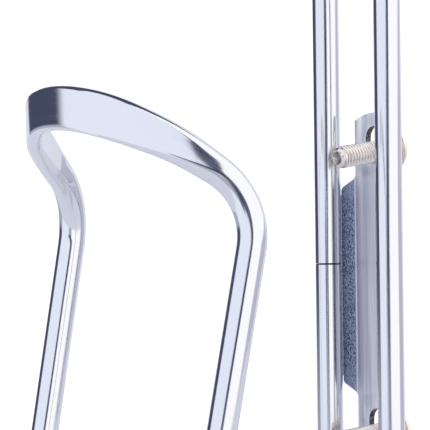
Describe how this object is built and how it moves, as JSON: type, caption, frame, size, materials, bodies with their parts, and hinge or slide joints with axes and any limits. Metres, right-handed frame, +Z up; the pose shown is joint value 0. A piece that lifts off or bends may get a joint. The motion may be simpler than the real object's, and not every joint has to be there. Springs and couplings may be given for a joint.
{
  "type": "water bottle cage",
  "caption": "Bent-rod aluminium bottle cage: closed rod loop with a flattened front strap, a welded slotted mounting plate and loose frame bolts.",
  "frame": {"origin": "centre of the two-slot pattern, on the plate face that meets the bicycle's tube", "axes": "+Y into the bicycle's tube, -Y towards the bottle and the front strap, +Z up along the rails, X across the cage"},
  "size_m": [0.0764, 0.0926, 0.15],
  "materials": {
    "polished_rod": "polished round bar, mirror-like with faint drawing lines",
    "pressed_plate": "pressed sheet, tumbled and brushed, slightly grainy",
    "weld_metal": "smooth fused bead",
    "plated_bolt": "bright zinc-plated steel, rolled thread"
  },
  "bodies": {
    "cage": {"cage_rod": "polished_rod", "mounting_plate": "pressed_plate", "weld_left": "weld_metal", "weld_right": "weld_metal"},
    "upper_bolt": {"upper_bolt": "plated_bolt"},
    "lower_bolt": {"lower_bolt": "plated_bolt"}
  },
  "joints": [
    {"name": "upper_bolt_slide", "type": "slide", "parent": "cage", "child": "upper_bolt", "axis": [0, 0, 1], "range_m": [0, 0.003]},
    {"name": "lower_bolt_slide", "type": "slide", "parent": "cage", "child": "lower_bolt", "axis": [0, 0, 1], "range_m": [0, 0.0031]}
  ]
}
